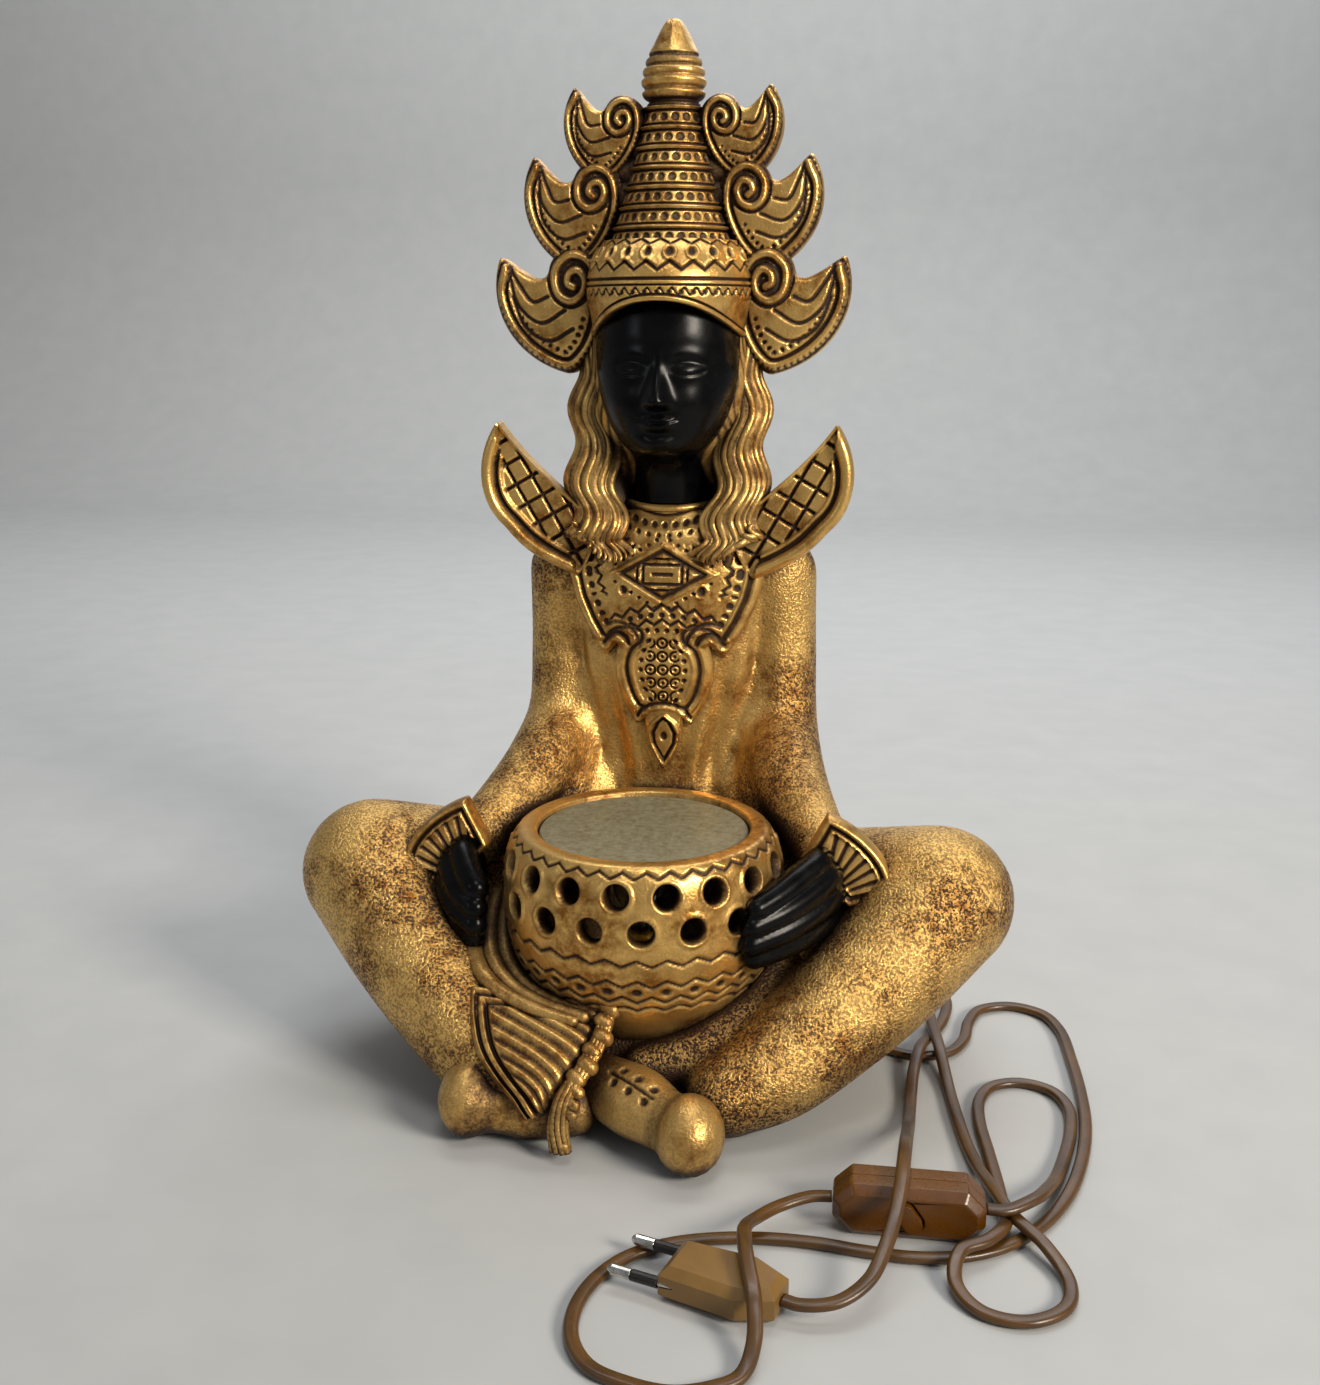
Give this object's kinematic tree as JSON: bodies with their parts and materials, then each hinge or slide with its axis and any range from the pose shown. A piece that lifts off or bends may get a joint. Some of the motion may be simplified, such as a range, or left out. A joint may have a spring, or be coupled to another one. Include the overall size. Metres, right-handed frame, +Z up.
{
  "type": "figure table lamp",
  "caption": "Table lamp: a crowned, cross-legged figure holds a pierced bowl closed by a lift-out frosted disc over a small bulb, with a flat cord, inline switch and plug.",
  "frame": {"origin": "on the table under the middle of the figure's box, the free cord, switch and plug left out", "axes": "+Z up; the figure looks along -Y; +X is towards the viewer's right"},
  "size_m": [0.343, 0.3941, 0.441],
  "materials": {
    "gilt_plaster": "satin",
    "black_lacquer": "gloss",
    "frosted_glass": "matte",
    "clear_glass": "gloss",
    "porcelain": "gloss",
    "brass": "satin",
    "plated_steel": "polished",
    "brown_vinyl": "satin",
    "amber_plastic": "gloss",
    "tan_plastic": "satin",
    "black_plastic": "satin",
    "fibreboard": "matte"
  },
  "bodies": {
    "figure": {"lap_casting": "gilt_plaster", "base_cover": "fibreboard", "torso_casting": "gilt_plaster", "leg_left": "gilt_plaster", "leg_right": "gilt_plaster", "slipper_right": "gilt_plaster", "slipper_left": "gilt_plaster", "sash_tassel": "gilt_plaster", "sash_pleats": "gilt_plaster", "head_and_neck": "black_lacquer", "crown_headband": "gilt_plaster", "crown_spire": "gilt_plaster", "crown_finial": "gilt_plaster", "crown_leaf_low_left": "gilt_plaster", "crown_leaf_middle_left": "gilt_plaster", "crown_leaf_top_left": "gilt_plaster", "crown_leaf_low_right": "gilt_plaster", "crown_leaf_middle_right": "gilt_plaster", "crown_leaf_top_right": "gilt_plaster", "hair_back": "gilt_plaster", "hair_lock_left": "gilt_plaster", "hair_lock_right": "gilt_plaster", "collar_wing_left": "gilt_plaster", "collar_wing_right": "gilt_plaster", "breast_plate": "gilt_plaster", "cuff_left": "gilt_plaster", "cuff_right": "gilt_plaster", "arm_left": "gilt_plaster", "arm_right": "gilt_plaster", "hand_left": "black_lacquer", "hand_right": "black_lacquer", "bowl": "gilt_plaster", "lampholder_body": "porcelain", "lampholder_contact": "brass", "threaded_nipple": "brass", "fixing_nut": "brass", "inner_lead": "brown_vinyl", "cord_relief": "brown_vinyl", "switch_front_shell": "amber_plastic", "switch_back_shell": "amber_plastic", "switch_screw_left": "plated_steel", "switch_screw_right": "plated_steel", "switch_terminal_left": "brass", "switch_terminal_right": "brass", "plug_body": "tan_plastic", "plug_pin_left": "plated_steel", "plug_pin_right": "plated_steel", "plug_sleeve_left": "black_plastic", "plug_sleeve_right": "black_plastic", "cord_lamp_side": "brown_vinyl", "cord_plug_side": "brown_vinyl"},
    "diffuser": {"diffuser_disc": "frosted_glass"},
    "bulb": {"bulb_tip_contact": "plated_steel", "bulb_cap": "brass", "bulb_glass": "clear_glass", "bulb_filament": "plated_steel"},
    "rocker": {"switch_rocker": "amber_plastic"}
  },
  "joints": [
    {"name": "diffuser_lift", "type": "slide", "parent": "figure", "child": "diffuser", "axis": [0, 0, 1], "range_m": [0, 0.08]},
    {"name": "bulb_turn", "type": "hinge", "parent": "figure", "child": "bulb", "pos_m": [0.00005, -0.02622, 0.06], "axis": [0, 0, 1], "range_deg": [0, 900]},
    {"name": "rocker_tilt", "type": "hinge", "parent": "figure", "child": "rocker", "pos_m": [0.11255, -0.13723, 0.01], "axis": [0.8192, 0, 0.5736], "range_deg": [-8, 8]}
  ]
}
